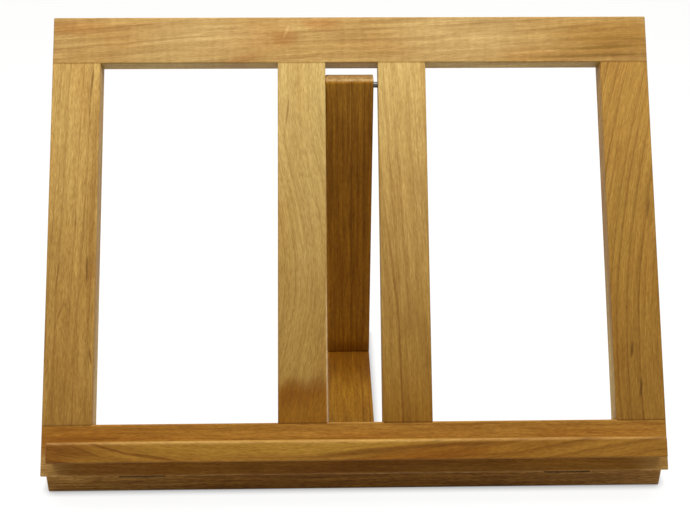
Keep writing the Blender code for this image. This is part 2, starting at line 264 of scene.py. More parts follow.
# Pale paper floor: white to the eye, with the object's shadow, and a duller bounce on the wood
paper, tree, shader = newMaterial("pale_paper_floor")
seen = directSight(tree)
tone = addNode(tree, "Mix", {
    "Factor_Float": seen, "A_Color": linearColour(studio["floorBounce"]),
    "B_Color": linearColour(studio["floorColour"])}, out=2, data_type="RGBA")
glow = addNode(tree, "Math.MULTIPLY", {0: seen, 1: studio["floorGlow"]})
# the thin dark line where the stand touches the paper
touch = addNode(tree, "AmbientOcclusion", {
    "Distance": studio["contact"]}, out=1, samples=studio["contactSamples"])
glow = addNode(tree, "Math.MULTIPLY", {0: glow, 1: touch})
feed(shader, {
    "Base Color": tone, "Roughness": studio["floorRoughness"], "Specular IOR Level": 0.0,
    "Emission Color": white, "Emission Strength": glow})
bm = bmesh.new()
bmesh.ops.create_grid(
    bm, x_segments=2, y_segments=2, size=studio["floorSize"],
    matrix=Matrix.Translation((0, 0, -studio["floorDrop"])))
floor = meshObject("floor", bm)
floor.data.materials.append(paper)
bpy.context.scene.view_settings.view_transform = "Standard"
print("stage 2: camera, light and floor")


# Oiled hardwood, sawn, planed and hand sanded: growth rings cut at a slant give soft flowing
# lines, with fine fibres, short dark pores and cloudy patches under a satin oil. Each piece
# adds its own seed, colours, gap between rings and wander.
noiseLow, noiseHigh = 0.3, 0.7   # noise stays near its middle, so it is spread from this range
woodDefaults = dict(
    pith=(-0.09, -0.05), slope=(0.0, 0.0),   # rings round a pith beside the bar, and its lean
    sway=None,   # the grain's steepest lean, the length of its wave and where it is steepest
    wanderSize=(0.11, 0.03), wanderDetail=2.0, uneven=1.4, pace=0.4,
    # how dark the wood is through one year, and how much the years differ
    year=((0.0, 0.02), (0.55, 0.10), (0.80, 0.4), (0.89, 1.0), (0.95, 0.5), (1.0, 0.02)),
    yearRange=(0.25, 1.0),
    # what each pattern runs with, its length, its width and its detail; the fibres are drawn
    # coarser than the real 0.1 mm, so that they show
    patterns=dict(
        fibre=("rings", 0.0040, 0.0005, 2.0), hair=("rings", 0.018, 0.0009, 1.0),
        streak=("rings", 0.08, 0.0030, 1.0), pores=("rings", 0.0045, 0.0006, 1.0),
        cloud=("bar", 0.045, 0.016, 2.0), curl=("bar", 0.0030, 0.014, 1.0),
        tinge=("bar", 0.09, 0.022, 1.0)),
    noiseRoughness=0.55, seedStep=2.3,
    # how far each pattern lightens and darkens
    fibre=0.19, hair=0.10, streak=0.08, cloud=0.05, curl=0.0,
    lines=0.75, fleck=0.35, fleckRange=(0.62, 0.76), warmth=0.35, warmRange=(0.35, 0.7),
    depth=(1.0, 1.25, 1.7),   # powers for red, green and blue: darker fibres are redder
    # on the stiles the fade paints shade, darker and redder towards the foot where the lamp's
    # light falls off; on the strut it paints light
    fade=None,   # how its colour changes at the two ends, and how far from the middle they are
    endTone=0.66, endFacing=(0.75, 0.97),
    jointLine=None, jointTone=0.66, jointWidth=0.0007,
    roughness=(0.44, 0.58), gloss=0.14, relief=0.00006, reliefStrength=0.6,
    marks=(), ragged=0.9)
wholeBar = 1.0   # a reach longer than any bar
softEdge, crispEdge = (0.7, 1.45), (1.15, 1.5)   # where a mark starts and ends to fade


def mark(at, reach, amount, tone, lean=0.0, edge=softEdge):
    # a stain, slit or worn edge, or a painted shade or highlight, round a spot (u, v, w) of the
    # bar, which leans across the grain
    at, reach = (*at, 0.0)[:3], (*reach, wholeBar)[:3]
    return dict(at=at, reach=reach, amount=amount, tone=tone, lean=lean, edge=edge)


def growthRings(tree, look, local, u, v, w):
    # distance from the pith, bent by a slow wander: equal distances are one year's ring
    long, wide = look["wanderSize"]
    drift = addNode(tree, "VectorMath.MULTIPLY", {0: local, 1: (1 / long, 1 / wide, 1 / wide)})
    drift = addNode(tree, "TexNoise", {
        "Vector": drift, "W": look["seed"], "Scale": 1.0, "Detail": look["wanderDetail"],
        "Roughness": look["noiseRoughness"]}, noise_dimensions="4D")
    if look["sway"]:
        steepest, long, where = look["sway"]
        turns = 2 * math.pi / long
        wave = addNode(tree, "Math.MULTIPLY_ADD", {0: u, 1: turns, 2: -turns * where})
        wave = addNode(tree, "Math.SINE", {0: wave})
        v = addNode(tree, "Math.MULTIPLY_ADD", {0: wave, 1: -steepest / turns, 2: v})
    offsets = []
    for across, slope, pith in zip((v, w), look["slope"], look["pith"]):
        leaning = addNode(tree, "Math.MULTIPLY_ADD", {0: u, 1: -slope, 2: across})
        offsets.append(addNode(tree, "Math.SUBTRACT", {0: leaning, 1: pith}))
    reach = addNode(tree, "CombineXYZ", dict(enumerate(offsets)))
    ring = addNode(tree, "VectorMath.LENGTH", {0: reach}, out=1)
    bent = addNode(tree, "Math.MULTIPLY_ADD", {0: drift, 1: 2 * look["wander"], 2: ring})

    # years of uneven width, each with its dark late wood
    year = addNode(tree, "Math.MULTIPLY", {0: bent, 1: 1 / look["ringGap"]})
    pace = addNode(tree, "TexNoise", {
        "W": year, "Scale": look["pace"], "Detail": 1.0}, noise_dimensions="1D")
    year = addNode(tree, "Math.MULTIPLY_ADD", {0: pace, 1: look["uneven"], 2: year})
    part = addNode(tree, "Math.FRACT", {0: year})
    number = addNode(tree, "Math.ADD", {0: year, 1: look["seed"]})
    number = addNode(tree, "Math.FLOOR", {0: number})
    strength = addNode(tree, "TexWhiteNoise", {"W": number}, noise_dimensions="1D")
    weakest, strongest = look["yearRange"]
    strength = addNode(tree, "MapRange", {
        "Value": strength, "To Min": weakest, "To Max": strongest})
    late = addNode(tree, "ValToRGB", {0: part})
    ramp = late.node.color_ramp
    ramp.interpolation = "B_SPLINE"
    for spot, grey in look["year"]:
        stop = next((s for s in ramp.elements if s.position == spot), None)
        stop = stop or ramp.elements.new(spot)
        stop.color = (grey, grey, grey, 1)
    return bent, addNode(tree, "Math.MULTIPLY", {0: late, 1: strength})


def paintMarks(tree, look, local, cloud, colour):
    # each mark is an ellipse, long with the bar, and its edge is as ragged as the clouds
    for spot in look["marks"]:
        away = addNode(tree, "Mapping", {
            "Vector": local, "Location": spot["at"], "Scale": spot["reach"],
            "Rotation": (0, 0, math.atan(spot["lean"]))}, vector_type="TEXTURE")
        away = addNode(tree, "VectorMath.LENGTH", {0: away}, out=1)
        away = addNode(tree, "Math.MULTIPLY_ADD", {0: cloud, 1: look["ragged"], 2: away})
        inner, outer = spot["edge"]
        mask = addNode(tree, "MapRange", {
            "Value": away, "From Min": inner, "From Max": outer, "To Min": spot["amount"],
            "To Max": 0.0}, interpolation_type="SMOOTHSTEP")
        colour = addNode(tree, "Mix", {
            "Factor_Float": mask, "A_Color": colour, "B_Color": linearColour(spot["tone"])},
            out=2, data_type="RGBA")
    return colour


def makeWood(name, place, **changes):
    look = {**woodDefaults, **changes}
    material, tree, shader = newMaterial(name)
    coordinates = tree.nodes.new("ShaderNodeTexCoord").outputs
    # u runs along the bar, v across its width and w through its thickness, from its centre
    local = addNode(tree, "Mapping", {
        "Vector": coordinates["Object"], "Location": place.translation,
        "Rotation": place.to_euler()}, vector_type="TEXTURE")
    u, v, w = addNode(tree, "SeparateXYZ", {0: local}).node.outputs
    bent, line = growthRings(tree, look, local, u, v, w)

    # fibres and pores run with the rings, clouds with the bar
    runs = dict(bar=local, rings=addNode(tree, "CombineXYZ", {0: u, 1: bent, 2: w}))
    seenAs = {}
    for count, (key, (run, long, wide, detail)) in enumerate(look["patterns"].items(), 1):
        if not look.get(key, True):   # a pattern with no strength
            continue
        scaled = addNode(tree, "VectorMath.MULTIPLY", {
            0: runs[run], 1: (1 / long, 1 / wide, 1 / wide)})
        seenAs[key] = addNode(tree, "TexNoise", {
            "Vector": scaled, "W": look["seed"] + look["seedStep"] * count, "Scale": 1.0,
            "Detail": detail, "Roughness": look["noiseRoughness"]}, noise_dimensions="4D")

    low, high = look["fleckRange"]
    fleck = addNode(tree, "MapRange", {
        "Value": seenAs["pores"], "From Min": low, "From Max": high, "To Max": look["fleck"]})
    low, high = look["warmRange"]
    tinge = addNode(tree, "MapRange", {
        "Value": seenAs["tinge"], "From Min": low, "From Max": high, "To Max": look["warmth"]})
    colour = addNode(tree, "Mix", {
        "Factor_Float": tinge, "A_Color": linearColour(look["light"]),
        "B_Color": linearColour(look["warm"])}, out=2, data_type="RGBA")
    depth = addNode(tree, "Math.MULTIPLY_ADD", {0: line, 1: look["lines"], 2: fleck})
    colour = addNode(tree, "Mix", {
        "Factor_Float": depth, "A_Color": colour, "B_Color": linearColour(look["dark"])},
        out=2, data_type="RGBA")
    colour = paintMarks(tree, look, local, seenAs["cloud"], colour)
    if look["fade"]:
        first, last, reach = look["fade"]
        along = addNode(tree, "MapRange", {"Value": u, "From Min": -reach, "From Max": reach})
        tint = addNode(tree, "Mix", {
            "Factor_Float": along, "A_Color": (*first, 1), "B_Color": (*last, 1)},
            out=2, data_type="RGBA")
        colour = addNode(tree, "VectorMath.MULTIPLY", {0: colour, 1: tint})

    shades = [addNode(tree, "MapRange", {
        "Value": seenAs[key], "From Min": noiseLow, "From Max": noiseHigh,
        "To Min": 1 - look[key], "To Max": 1 + look[key]}) for key in seenAs if key in look]
    # open end grain drinks more oil and goes dark, and the stiles' ends are darkened in a thin
    # line where they meet the rails
    facing = addNode(tree, "VectorMath.DOT_PRODUCT", {
        0: coordinates["Normal"], 1: place.to_3x3().col[0]}, out=1)
    facing = addNode(tree, "Math.ABSOLUTE", {0: facing})
    low, high = look["endFacing"]
    shades.append(addNode(tree, "MapRange", {
        "Value": facing, "From Min": low, "From Max": high, "To Min": 1.0,
        "To Max": look["endTone"]}))
    if look["jointLine"]:
        far = addNode(tree, "Math.ABSOLUTE", {0: u})
        shades.append(addNode(tree, "MapRange", {
            "Value": far, "From Min": look["jointLine"] - look["jointWidth"],
            "From Max": look["jointLine"], "To Min": 1.0, "To Max": look["jointTone"]}))
    shade = shades[0]
    for other in shades[1:]:
        shade = addNode(tree, "Math.MULTIPLY", {0: shade, 1: other})
    powers = [addNode(tree, "Math.POWER", {0: shade, 1: power}) for power in look["depth"]]
    deeper = addNode(tree, "CombineXYZ", dict(enumerate(powers)))
    colour = addNode(tree, "VectorMath.MULTIPLY", {0: colour, 1: deeper})

    smoothest, roughest = look["roughness"]
    rough = addNode(tree, "MapRange", {
        "Value": seenAs["fibre"], "From Min": noiseLow, "From Max": noiseHigh,
        "To Min": roughest, "To Max": smoothest})
    relief = addNode(tree, "Bump", {
        "Height": seenAs["fibre"], "Distance": look["relief"],
        "Strength": look["reliefStrength"]})
    feed(shader, {"Base Color": colour, "Roughness": rough, "Normal": relief,
                  "Specular IOR Level": look["gloss"]})
    return material


# The milled bar: a block with a fine grid of faces, whose long edges and ends are rounded over
# by sandpaper, a little more here and a little less there.
milling = {
    "Guard": 0.0004,                      # a narrow flat beside each rounding
    "Round Steps": 3, "Sanding": 0.3, "Rub Scale": 22.0}   # rubs about 45 mm long
gridStep, flatSteps = 0.012, (4, 2)       # along the bar, and over its width and thickness
tree, given = newTree("milled bar", {
    "Size": "Vector", "Arris": "Vector", "Guard": "Float", "Flat Steps": "Vector",
    "Round Steps": "Int", "Sanding": "Float", "Rub Scale": "Float", "Seed": "Float",
    "Material": "Material"})
roundBoth = addNode(tree, "Math.MULTIPLY", {0: given["Round Steps"], 1: 2.0})
inner = addNode(tree, "VectorMath.ADD", {0: given["Flat Steps"], 1: (2, 2, 2)})
steps = addNode(tree, "VectorMath.ADD", {0: inner, 1: roundBoth})
flatPart = addNode(tree, "VectorMath.DIVIDE", {0: given["Flat Steps"], 1: steps})
innerPart = addNode(tree, "VectorMath.DIVIDE", {0: inner, 1: steps})
counts = addNode(tree, "VectorMath.ADD", {0: steps, 1: (1, 1, 1)})
counts = addNode(tree, "SeparateXYZ", {0: counts}).node.outputs
block = addNode(tree, "GeometryNodeMeshCube", {
    "Size": (2, 2, 2), "Vertices X": counts[0], "Vertices Y": counts[1], "Vertices Z": counts[2]})
spot = addNode(tree, "GeometryNodeInputPosition", {})
half = addNode(tree, "VectorMath.SCALE", {0: given["Size"], "Scale": 0.5})
place = addNode(tree, "VectorMath.MULTIPLY", {0: spot, 1: half})
rubbed = addNode(tree, "TexNoise", {
    "Vector": place, "W": given["Seed"], "Scale": given["Rub Scale"], "Detail": 1.0},
    noise_dimensions="4D")
rubbed = addNode(tree, "Math.SUBTRACT", {0: rubbed, 1: 0.5})
rubbed = addNode(tree, "Math.MULTIPLY_ADD", {0: rubbed, 1: given["Sanding"], 2: 1.0})
radius = addNode(tree, "VectorMath.SCALE", {0: given["Arris"], "Scale": rubbed})
size = addNode(tree, "VectorMath.ABSOLUTE", {0: spot})
level = addNode(tree, "VectorMath.SUBTRACT", {0: half, 1: radius})
level = addNode(tree, "VectorMath.SUBTRACT", {0: level, 1: given["Guard"]})
zones = []
for start, end, reach in (((0, 0, 0), flatPart, level), (flatPart, innerPart, given["Guard"]),
                          (innerPart, (1, 1, 1), (1, 1, 1))):
    zones.append(addNode(tree, "MapRange", {
        "Vector": size, "From_Min_FLOAT3": start, "From_Max_FLOAT3": end,
        "To_Min_FLOAT3": (0, 0, 0), "To_Max_FLOAT3": reach}, out=1, data_type="FLOAT_VECTOR"))
turned = addNode(tree, "VectorMath.NORMALIZE", {0: zones[2]})
turned = addNode(tree, "VectorMath.MULTIPLY", {0: turned, 1: radius})
outwards = addNode(tree, "VectorMath.ADD", {0: zones[0], 1: zones[1]})
outwards = addNode(tree, "VectorMath.ADD", {0: outwards, 1: turned})
side = addNode(tree, "VectorMath.SIGN", {0: spot})
outwards = addNode(tree, "VectorMath.MULTIPLY", {0: outwards, 1: side})
shaped = addNode(tree, "GeometryNodeSetPosition", {"Geometry": block, "Position": outwards})
barTree = endTree(tree, shaped, given["Material"])


def axes(turn, centre, along, across):
    # a bar's own directions: along its length, across its width, and out of its face
    columns = Matrix((along, across, along.cross(across))).transposed()
    return turn @ Matrix.Translation(centre) @ columns.to_4x4()


def makeBar(name, body, place, length, wood, holes, endArris=arris):
    material = makeWood("oiled_hardwood_planed_" + name, place, **wood)
    piece = runTree(name + "_wood", barTree, {
        **milling, "Size": (length, stockWidth, stockThickness),
        "Arris": (endArris, arris, arris), "Flat Steps": (round(length / gridStep), *flatSteps),
        "Seed": wood["seed"], "Material": material})
    piece.data.transform(place)
    finishWood(piece, body, name, holes)


# Joinery: stiles and board butted on dowels, the ledge screwed on from behind, hinge leaves let in
stile = dict(
    outerX=(stand["width"] - stockWidth) / 2, innerX=(strutSlot + stockWidth) / 2,
    lap=0.9 * arris,     # the joints were sanded flush, so a stile fills the rail's rounded edge
    endArris=0.00012, dowelMargin=0.008)
stileX = {"left_outer_stile": -stile["outerX"], "left_inner_stile": -stile["innerX"],
          "right_inner_stile": stile["innerX"], "right_outer_stile": stile["outerX"]}
dowel = {"Radius": 0.003, "Half Length": 0.010, "Chamfer": 0.0006, "Flutes": 14,
         "Flute Depth": 0.00022}
rod = dict(height=0.258, radius=0.002, letIn=0.020)   # into each inner stile
rodHalf = strutSlot / 2 + rod["letIn"]
hinges = dict(
    x=0.138, half=0.0145,              # middle and half length of each
    reach=0.0115, deep=0.0014,         # of a leaf's pocket
    spacing=0.008, offset=0.007)       # of its screws, from its middle and from the axis
ledge = dict(
    depth=0.015, height=0.0128, lift=0.0088,   # lifted above the rail's lower edge
    inset=(0.007, 0.0048), cover=0.006)        # short of the frame's ends, and before the screws
ledgeFoot = setback + ledge["lift"]
hingeScrew = {"Radius": 0.001, "Head": 0.002, "Length": 0.009, "Pitch": 0.0009,
              "Recess": 0.0007, "Seed": 3}
ledgeScrew = {"Radius": 0.0015, "Head": 0.003, "Pitch": 0.0014, "Recess": 0.0011, "Seed": 5,
              "Length": stockThickness + gap + ledge["depth"] - ledge["cover"]}
dowelSteps = [side * (stockWidth / 2 - stile["dowelMargin"]) for side in (-1, 1)]
boardSpots = [
    baseTurn @ Matrix.Translation((strutMiddle + step, lowerJoint + gap / 2, seat / 2)) @ toBack
    for step in dowelSteps]
ledgeScrewSpots = [
    frameTurn @ Matrix.Translation((x, -setback, ledgeFoot + ledge["height"] / 2)) @ toBack
    for x in (-stand["width"] / 4, 0.0, stand["width"] / 4)]
rodBore = [frameTurn @ Matrix.Translation((0, frameMiddle, rod["height"])) @ alongX]


def dowelSpots(z):
    return {name: [frameTurn @ Matrix.Translation((x + step, frameMiddle, z))
                   for step in dowelSteps] for name, x in stileX.items()}


lowSpots, highSpots = dowelSpots(lowerJoint + gap / 2), dowelSpots(upperJoint - gap / 2)
allLow, allHigh = sum(lowSpots.values(), []), sum(highSpots.values(), [])


def drill(bm, spots, radius, half):
    for spot in spots:
        addTurned(bm, spot, [(radius, -half), (radius, half)], stand["holeSides"])


def dowelHoles(bm, spots):
    drill(bm, spots, dowel["Radius"] + gap, dowel["Half Length"] + gap)


def pockets(bm, turn, low, high):
    reach = hinges["half"] + gap
    for x in (-hinges["x"], hinges["x"]):
        addBlock(bm, turn, (x - reach, *low), (x + reach, *high))


def bottomRailHoles(bm):
    dowelHoles(bm, allLow)
    pockets(bm, frameTurn, (-hinges["deep"] - gap, -overcut), (overcut, hinges["reach"] + gap))
    radius, head = ledgeScrew["Radius"], ledgeScrew["Head"]
    for spot in ledgeScrewSpots:
        addTurned(bm, spot, [
            (radius + gap, -ledgeScrew["Length"]), (radius + gap, radius - head),
            (head + gap, 0), (head + gap, overcut)])


def baseRailHoles(bm):
    top = hinge[2]
    pockets(bm, baseTurn, (-overcut, top - hinges["deep"] - gap),
            (hinges["reach"] + gap, top + overcut))
    dowelHoles(bm, boardSpots)


def stileHoles(name):
    def holes(bm):
        dowelHoles(bm, lowSpots[name] + highSpots[name])
        if "inner" in name:
            drill(bm, rodBore, rod["radius"] + gap, rodHalf + gap)
    return holes


topRailWood = dict(
    seed=1.0, light="AC8A4E", dark="835A26", warm="A27739", pith=(-0.075, -0.03),
    slope=(0.06, 0.0), sway=(0.03, 0.30, -0.15), ringGap=0.0064, wander=0.0022,
    wanderSize=(0.15, 0.05), curl=0.05, fibre=0.13, hair=0.09, streak=0.13, cloud=0.11,
    lines=0.6, warmth=0.75, marks=(
        mark((0, -0.016), (wholeBar, 0.0012, 0.009), 0.8, "BFA158"),   # painted light on the lower edge and the face beneath it, as if lit from below
        # reddish stains
        mark((-0.066, 0.002), (0.045, 0.016), 0.3, "995F1F", lean=0.1),
        mark((-0.045, 0.002), (0.014, 0.01), 0.42, "92581B", lean=0.3),
        mark((-0.022, 0.011), (0.024, 0.007), 0.42, "995B1D"),
        mark((-0.072, -0.013), (0.016, 0.005), 0.36, "995B1D", lean=0.2),
        mark((-0.186, 0.009), (0.04, 0.006), 0.36, "995F1F", lean=0.04),
        # two pale stretches, a brown end and a pale scratch
        mark((-0.102, 0.002), (0.06, 0.03), 0.38, "C2A66C"),
        mark((0.074, 0.0), (0.06, 0.03), 0.44, "C2A66C"),
        mark((0.185, 0.003), (0.07, 0.022), 0.68, "8F6318"),
        mark((-0.0435, 0.0065), (0.0018, 0.0075), 0.32, "D0AA6E", lean=-0.4),
        # dark rings near the right end
        mark((0.1674, -0.0059), (0.05, 0.0016), 0.75, "785617", lean=0.042),
        mark((0.1637, -0.0116), (0.055, 0.0016), 0.75, "785617", lean=0.03),
        mark((0.1751, 0.0003), (0.04, 0.0018), 0.55, "785617", lean=0.011)))
place = axes(frameTurn, (0, frameMiddle, upperJoint + stockWidth / 2), right, up)
makeBar("top_rail", "frame", place, stand["width"], topRailWood,
        lambda bm: dowelHoles(bm, allHigh))

bottomRailWood = dict(
    seed=2.0, light="A5762F", dark="7D4B14", warm="9C611D", pith=(-0.11, -0.04),
    slope=(-0.01, 0.0), ringGap=0.0042, wander=0.002, warmth=0.6, fibre=0.20, hair=0.15,
    streak=0.10, fade=((0.97, 0.93, 0.80), (1.05, 1.09, 1.10), 0.15), marks=(
        mark((0, -0.0165), (0.21, 0.0125), 0.42, "683F14"),   # painted shade under the ledge
        # painted light on the lower corners, beyond the ledge's shadow
        mark((-0.194, -0.013), (0.08, 0.014), 0.65, "A5783A"),
        mark((-0.2, -0.012), (0.026, 0.016), 0.95, "C0975A"),
        mark((0.2, -0.012), (0.026, 0.016), 0.9, "B98D4C")))
place = axes(frameTurn, (0, frameMiddle, lowerJoint - stockWidth / 2), right, up)
makeBar("bottom_rail", "frame", place, stand["width"], bottomRailWood, bottomRailHoles)

# each stile's fade is painted shade: darker and redder towards the foot, where the lamp's light
# falls off
stileWood = {
    "left_outer_stile": dict(
        seed=3.0, light="B9944F", dark="835B24", warm="AC7933", pith=(0.10, -0.09),
        slope=(-0.03, 0.0), ringGap=0.0050, wander=0.0016, wanderSize=(0.12, 0.02), lines=0.65,
        fade=((0.80, 0.72, 0.56), (1.0, 1.03, 1.08), 0.12), marks=(
            # painted light on the inner edge and side face, slits in the grain, and a brown band
            # beside that edge
            mark((-0.13, -0.016, -0.002), (0.12, 0.0012, 0.009), 0.75, "E7CD8A"),
            mark((0.1081, -0.0109), (0.015, 0.0011), 0.75, "5E3A10", lean=-0.068),
            mark((-0.0184, -0.0103), (0.014, 0.001), 0.7, "5E3A10", lean=0.005),
            mark((0.0107, -0.0021), (0.01, 0.0008), 0.55, "6A4214", lean=-0.015),
            mark((-0.0209, 0.0083), (0.016, 0.0009), 0.6, "6A4214", lean=-0.102),
            mark((-0.076, -0.0138), (0.009, 0.0011), 0.6, "6A4214", lean=0.157),
            mark((-0.0468, 0.0061), (0.011, 0.001), 0.4, "6A4214", lean=-0.324),
            mark((0.01, -0.013), (0.13, 0.003), 0.35, "875718", lean=-0.014))),
    "left_inner_stile": dict(
        seed=4.0, light="B49553", dark="8F6B2F", warm="A97E39", pith=(-0.12, -0.06),
        ringGap=0.0060, sway=(0.24, 0.25, 0.04), wander=0.0015, lines=0.48, hair=0.08,
        fade=((0.78, 0.68, 0.50), (1.10, 1.17, 1.34), 0.12), marks=(
            # two slits, a darker foot with a darker band over it, and a painted highlight along
            # the right edge
            mark((0.0861, 0.0094), (0.014, 0.0009), 0.6, "6A4214", lean=-0.094),
            mark((0.0711, 0.0115), (0.0075, 0.0009), 0.4, "7A4C18", lean=-0.02),
            mark((-0.13, 0.0), (0.04, 0.06), 0.82, "99670A", edge=crispEdge),
            mark((-0.099, 0.0), (0.013, 0.03), 0.4, "7A4306", lean=0.2),
            mark((-0.085, -0.016, 0.0062), (0.075, 0.0014, 0.0016), 0.8, "EBCB9A"))),
    "right_inner_stile": dict(
        seed=5.0, light="AF8C4B", dark="8B6227", warm="A27331", pith=(-0.12, -0.06),
        slope=(0.055, 0.0), ringGap=0.0060, wander=0.0015, lines=0.65, fibre=0.17, hair=0.11,
        streak=0.10, fade=((0.66, 0.52, 0.21), (1.22, 1.36, 1.64), 0.12), marks=(
            # two long dark rings
            mark((-0.015, 0.0088), (0.042, 0.0012), 0.5, "7A4B14", lean=0.104),
            mark((-0.085, 0.004), (0.062, 0.0012), 0.45, "744711", lean=0.03))),
    "right_outer_stile": dict(
        seed=6.0, light="AB8139", dark="774D18", warm="9E6926", pith=(0.12, -0.05),
        ringGap=0.0054, sway=(-0.27, 0.90, 0.14), wander=0.0014, lines=0.95,
        fade=((0.78, 0.73, 0.60), (0.98, 1.02, 0.99), 0.12), marks=(
            # painted light on the inner edge and side face, and three slits
            mark((-0.13, 0.016, -0.002), (0.15, 0.0012, 0.009), 0.75, "E4CB86"),
            mark((0.0187, -0.0115), (0.012, 0.001), 0.65, "57350E", lean=-0.173),
            mark((-0.0746, 0.0038), (0.007, 0.0012), 0.75, "57350E", lean=-0.1),
            mark((-0.0992, -0.0009), (0.009, 0.0012), 0.65, "57350E", lean=-0.1))),
}
for name, x in stileX.items():
    place = axes(frameTurn, (x, frameMiddle, (lowerJoint + upperJoint) / 2), up, -right)
    length = upperJoint - lowerJoint + 2 * stile["lap"]
    wood = dict(stileWood[name], jointLine=(upperJoint - lowerJoint) / 2)
    makeBar(name, "frame", place, length, wood, stileHoles(name), stile["endArris"])

baseRailWood = dict(
    seed=8.0, light="9A6C2D", dark="684212", warm="8C5D1F", pith=(-0.03, -0.08),
    slope=(0.0, 0.01), ringGap=0.0040, wander=0.002, fleck=1.0, fibre=0.45, hair=0.28,
    streak=0.22, marks=(
        # painted highlight on the upper edge, painted shade along the lower edge, a middle
        # darkened with painted shade and ends lightened with painted light
        mark((0, -0.016, 0.0065), (wholeBar, 0.0014, 0.0014), 0.9, "C39A5C"),
        mark((0, -0.0165, -0.0065), (wholeBar, 0.004, 0.0018), 0.5, "4A2C0C"),
        mark((-0.02, 0), (0.17, wholeBar), 0.45, "845514"),
        mark((-0.2, 0), (0.12, wholeBar), 0.55, "B88A44"),
        mark((0.2, 0), (0.1, wholeBar), 0.42, "B88A4E")))
place = axes(baseTurn, (0, lowerJoint - stockWidth / 2, stockThickness / 2), right, back)
makeBar("base_rail", "base", place, stand["width"], baseRailWood, baseRailHoles)
print("stage 3: rails and stiles")

rounding = dict(
    guard=0.0002,                # from each round to the point beside it
    cornerSteps=5, endSteps=4, smallest=0.00005)


def roundedOutline(corners, radii, inset):
    # the outline moved in by inset, its corners rounded, with a point close beside each round
    guard, steps = rounding["guard"], rounding["cornerSteps"]
    points = []
    for i, corner in enumerate(corners):
        corner = Vector(corner)
        before = (corner - Vector(corners[i - 1])).normalized()
        after = (Vector(corners[(i + 1) % len(corners)]) - corner).normalized()
        left = Vector((-before.y, before.x))
        leftAfter = Vector((-after.y, after.x))
        sense = 1 if before.cross(after) > 0 else -1
        corner = corner + (left + leftAfter) * inset / (1 + left.dot(leftAfter))
        radius = max(radii[i] - sense * inset, rounding["smallest"])
        turn = before.angle(after)
        cut = radius * math.tan(turn / 2)
        centre = corner - before * cut + left * sense * radius
        points.append(corner - before * (cut + guard))
        for k in range(steps + 1):
            arm = Matrix.Rotation(sense * turn * k / steps, 2) @ (-left * sense * radius)
            points.append(centre + arm)
        points.append(corner + after * (cut + guard))
    return points


def makeShaped(name, body, turn, corners, radii, ends, material, holes=None):
    # an outline of (y, z) corners drawn out along x, its two end faces' edges rounded over
    (low, high), guard, steps = ends, rounding["guard"], rounding["endSteps"]
    rings = [(low, arris + guard)]
    for k in range(steps + 1):
        angle = math.pi / 2 * k / steps
        rings.append((low + arris * (1 - math.cos(angle)), arris * (1 - math.sin(angle))))
    rings.append((low + arris + guard, 0.0))
    rings += [(low + high - x, inset) for x, inset in reversed(rings)]
    bm = bmesh.new()
    joinLoops(bm, [
        [bm.verts.new(turn @ Vector((x, *point)))
         for point in roundedOutline(corners, radii, inset)] for x, inset in rings])
    bmesh.ops.recalc_face_normals(bm, faces=bm.faces)
    piece = meshObject(name + "_wood", bm)
    plainMesh(piece)
    piece.data.materials.append(material)
    finishWood(piece, body, name, holes)


ledgeWood = dict(
    seed=9.0, light="9E7029", dark="683B0B", warm="94601C", sway=(0.19, 0.60, 0.10),
    ringGap=0.0066, wander=0.0016, wanderSize=(0.16, 0.06), lines=0.9, marks=(
        # brown stretches, an olive one, and a painted highlight on the upper edge
        mark((-0.19, 0.0), (0.035, 0.02), 0.6, "723E0A"),
        mark((0.065, 0), (0.085, wholeBar), 0.35, "88540E"),
        mark((0.04, -0.0045), (0.065, 0.009), 0.55, "7E4303", lean=0.05),
        mark((-0.042, 0.008), (0.118, 0.0134), 0.6, "AD8230", edge=crispEdge),
        mark((-0.05, 0.0064, 0.0075), (0.45, 0.0026, 0.0026), 0.42, "C79D5C"),
        # arcs of dark rings
        mark((-0.154, 0.0022), (0.018, 0.0011), 0.65, "6B3C0A", lean=-0.277),
        mark((-0.1283, -0.0029), (0.026, 0.0014), 0.7, "6B3C0A", lean=-0.149),
        mark((-0.1678, 0.0006), (0.019, 0.001), 0.5, "6B3C0A", lean=-0.371),
        mark((0.012, -0.0006), (0.062, 0.0028), 0.7, "6B3C0A", lean=0.089),
        mark((0.0635, 0.0027), (0.05, 0.0019), 0.65, "6B3C0A", lean=0.037),
        mark((0.0787, -0.0037), (0.036, 0.001), 0.45, "6B3C0A", lean=0.045)))
ledgeRadii = (0.0008, 0.0003, 0.0003, 0.0018)
rear = -setback - stockThickness - gap
front, low, high = rear - ledge["depth"], ledgeFoot, ledgeFoot + ledge["height"]
corners = [(front, low), (rear, low), (rear, high), (front, high)]
ends = (ledge["inset"][0] - stand["width"] / 2, stand["width"] / 2 - ledge["inset"][1])
place = axes(frameTurn, (0, (front + rear) / 2, (low + high) / 2), right, up)
wood = makeWood("oiled_hardwood_rounded_book_ledge", place, **ledgeWood)
makeShaped("book_ledge", "frame", frameTurn, corners, ledgeRadii, ends, wood)

# the strut's colours are darker and redder than the frame's, partly its own wood and partly
# painted shade for where it stands behind the frame; its fade lightens the lower part and pales
# the top, which is painted light
strutWood = dict(
    seed=10.0, light="A16C1A", dark="75450A", warm="955E12", pith=(-0.12, -0.03),
    slope=(0.004, 0.0), ringGap=0.0046, wander=0.0006, wanderSize=(0.2, 0.02), lines=1.0,
    fibre=0.20, hair=0.20, streak=0.16, relief=0.00003,
    fade=((1.11, 1.10, 0.95), (0.98, 1.04, 1.18), 0.10), marks=(
        # painted shade at the foot and a painted highlight on the rounded top
        mark((-0.1065, 0), (0.014, wholeBar), 0.5, "6A3A04"),
        mark((0.1124, 0), (0.0022, wholeBar), 0.9, "AF8B55")))
